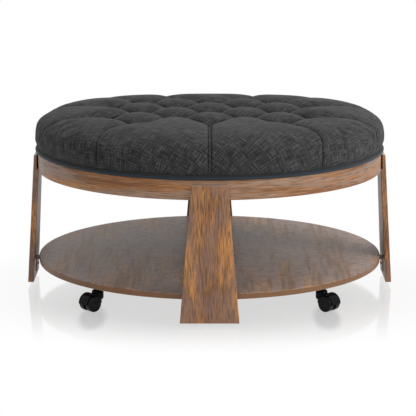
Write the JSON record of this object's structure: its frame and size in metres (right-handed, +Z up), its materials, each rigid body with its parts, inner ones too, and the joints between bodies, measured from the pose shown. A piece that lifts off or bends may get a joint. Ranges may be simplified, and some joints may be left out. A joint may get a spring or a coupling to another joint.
{
  "type": "round coffee table",
  "caption": "Round tufted ottoman coffee table with a bent-wood apron, tapered board legs, a lower shelf and twin-wheel swivel casters.",
  "frame": {"origin": "on the floor under the centre of the table", "axes": "+Z up, -Y towards the leg that faces the viewer, +X to the viewer's right"},
  "size_m": [0.9564, 0.9564, 0.4703],
  "materials": {
    "linen_upholstery": "woven, matt",
    "welt_fabric": "woven, matt",
    "dust_fabric": "non-woven, matt",
    "twine": "twisted, matt",
    "apron_wood": "oiled, satin",
    "leg_wood": "oiled, satin",
    "shelf_wood": "oiled, satin",
    "frame_wood": "planed, matt",
    "plywood": "sanded, matt",
    "zinc_steel": "zinc plated",
    "black_steel": "powder coated, satin",
    "insert_brass": "turned",
    "nylon": "moulded, matt",
    "white_nylon": "moulded, matt",
    "caster_nylon": "moulded, soft gloss"
  },
  "bodies": {
    "table": {"seat_cushion": "linen_upholstery", "welt_cord": "welt_fabric", "seat_deck": "plywood", "tuft_ties": "twine", "dust_cover": "dust_fabric", "seat_battens": "frame_wood", "batten_screws": "zinc_steel", "leg_blocks": "frame_wood", "corner_cleats": "frame_wood", "deck_screws": "zinc_steel", "apron_ring": "apron_wood", "front_leg": "leg_wood", "right_leg": "leg_wood", "back_leg": "leg_wood", "left_leg": "leg_wood", "leg_spacers": "nylon", "leg_inserts": "insert_brass", "leg_bolts": "zinc_steel", "leg_bolt_washers": "zinc_steel", "shelf_board": "shelf_wood", "shelf_brackets": "black_steel", "bracket_screws": "zinc_steel", "bracket_bolts": "zinc_steel", "bracket_inserts": "insert_brass", "caster_plates": "zinc_steel", "caster_screws": "zinc_steel", "king_pins": "zinc_steel", "king_pin_clips": "zinc_steel", "swivel_washers": "white_nylon"},
    "front_left_swivel": {"front_left_hood": "caster_nylon", "front_left_axle": "zinc_steel"},
    "front_left_wheel_a": {"front_left_wheel_a": "caster_nylon"},
    "front_left_wheel_b": {"front_left_wheel_b": "caster_nylon"},
    "front_right_swivel": {"front_right_hood": "caster_nylon", "front_right_axle": "zinc_steel"},
    "front_right_wheel_a": {"front_right_wheel_a": "caster_nylon"},
    "front_right_wheel_b": {"front_right_wheel_b": "caster_nylon"},
    "back_left_swivel": {"back_left_hood": "caster_nylon", "back_left_axle": "zinc_steel"},
    "back_left_wheel_a": {"back_left_wheel_a": "caster_nylon"},
    "back_left_wheel_b": {"back_left_wheel_b": "caster_nylon"},
    "back_right_swivel": {"back_right_hood": "caster_nylon", "back_right_axle": "zinc_steel"},
    "back_right_wheel_a": {"back_right_wheel_a": "caster_nylon"},
    "back_right_wheel_b": {"back_right_wheel_b": "caster_nylon"}
  },
  "joints": [
    {"name": "front_left_swivel", "type": "hinge", "parent": "table", "child": "front_left_swivel", "pos_m": [-0.28, -0.306, 0.045], "axis": [0, 0, 1], "continuous": true},
    {"name": "front_left_wheel_a_spin", "type": "hinge", "parent": "front_left_swivel", "child": "front_left_wheel_a", "pos_m": [-0.29755, -0.32237, 0.0205], "axis": [0.682, -0.7314, 0], "continuous": true},
    {"name": "front_left_wheel_b_spin", "type": "hinge", "parent": "front_left_swivel", "child": "front_left_wheel_b", "pos_m": [-0.29755, -0.32237, 0.0205], "axis": [0.682, -0.7314, 0], "continuous": true},
    {"name": "front_right_swivel", "type": "hinge", "parent": "table", "child": "front_right_swivel", "pos_m": [0.28, -0.306, 0.045], "axis": [0, 0, 1], "continuous": true},
    {"name": "front_right_wheel_a_spin", "type": "hinge", "parent": "front_right_swivel", "child": "front_right_wheel_a", "pos_m": [0.29755, -0.32237, 0.0205], "axis": [0.682, 0.7314, 0], "continuous": true},
    {"name": "front_right_wheel_b_spin", "type": "hinge", "parent": "front_right_swivel", "child": "front_right_wheel_b", "pos_m": [0.29755, -0.32237, 0.0205], "axis": [0.682, 0.7314, 0], "continuous": true},
    {"name": "back_left_swivel", "type": "hinge", "parent": "table", "child": "back_left_swivel", "pos_m": [-0.28, 0.306, 0.045], "axis": [0, 0, 1], "continuous": true},
    {"name": "back_left_wheel_a_spin", "type": "hinge", "parent": "back_left_swivel", "child": "back_left_wheel_a", "pos_m": [-0.29755, 0.32237, 0.0205], "axis": [-0.682, -0.7314, 0], "continuous": true},
    {"name": "back_left_wheel_b_spin", "type": "hinge", "parent": "back_left_swivel", "child": "back_left_wheel_b", "pos_m": [-0.29755, 0.32237, 0.0205], "axis": [-0.682, -0.7314, 0], "continuous": true},
    {"name": "back_right_swivel", "type": "hinge", "parent": "table", "child": "back_right_swivel", "pos_m": [0.28, 0.306, 0.045], "axis": [0, 0, 1], "continuous": true},
    {"name": "back_right_wheel_a_spin", "type": "hinge", "parent": "back_right_swivel", "child": "back_right_wheel_a", "pos_m": [0.29755, 0.32237, 0.0205], "axis": [-0.682, 0.7314, 0], "continuous": true},
    {"name": "back_right_wheel_b_spin", "type": "hinge", "parent": "back_right_swivel", "child": "back_right_wheel_b", "pos_m": [0.29755, 0.32237, 0.0205], "axis": [-0.682, 0.7314, 0], "continuous": true}
  ]
}
